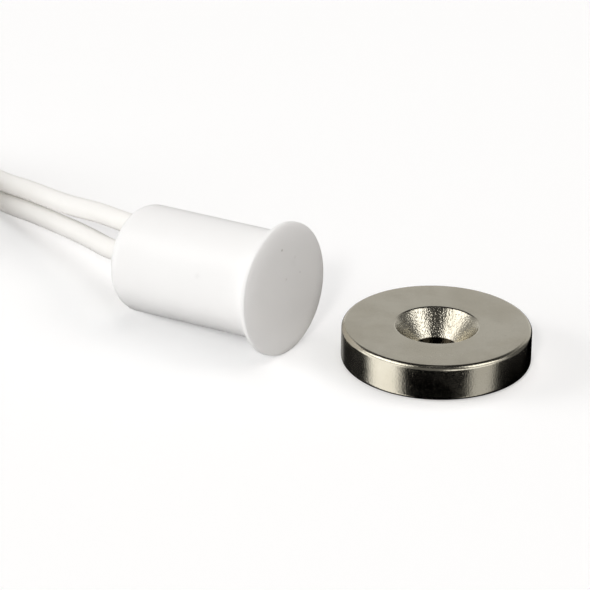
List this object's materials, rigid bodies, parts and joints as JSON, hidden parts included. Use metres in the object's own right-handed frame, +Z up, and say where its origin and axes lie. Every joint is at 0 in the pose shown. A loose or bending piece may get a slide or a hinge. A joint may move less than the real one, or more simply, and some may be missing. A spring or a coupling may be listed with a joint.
{
  "type": "recessed magnetic contact",
  "caption": "Recessed door or window contact: a flanged press-in reed switch on two wire leads, with a countersunk ring magnet.",
  "frame": {"origin": "on the table under the middle of the box round the switch and the magnet, without the free leads", "axes": "+X along the switch from its leads towards its flange and the magnet, +Z up from the table"},
  "size_m": [0.0828, 0.0297, 0.0116],
  "materials": {
    "housing_plastic": "smooth moulded white plastic",
    "potting": "cast resin",
    "reed_glass": "clear green tinted glass",
    "reed_metal": "plated nickel iron",
    "sleeve": "thin plastic tubing",
    "solder": "dull solder",
    "tinned_copper": "tinned copper strands",
    "lead_jacket": "smooth warm white soft plastic",
    "tie": "flat white twist tie",
    "magnet_nickel": "satin nickel plate on a sintered magnet"
  },
  "bodies": {
    "root": {"housing": "housing_plastic", "potting_compound": "potting", "reed_glass": "reed_glass", "reed_blade_front": "reed_metal", "reed_blade_rear": "reed_metal", "insulating_sleeve": "sleeve", "solder_joint_a": "solder", "solder_joint_b": "solder", "lead_core_a": "tinned_copper", "lead_core_b": "tinned_copper", "lead_jacket_a": "lead_jacket", "lead_jacket_b": "lead_jacket", "lead_coil": "lead_jacket", "coil_tie": "tie", "tinned_end_a": "tinned_copper", "tinned_end_b": "tinned_copper", "magnet": "magnet_nickel"}
  },
  "joints": []
}
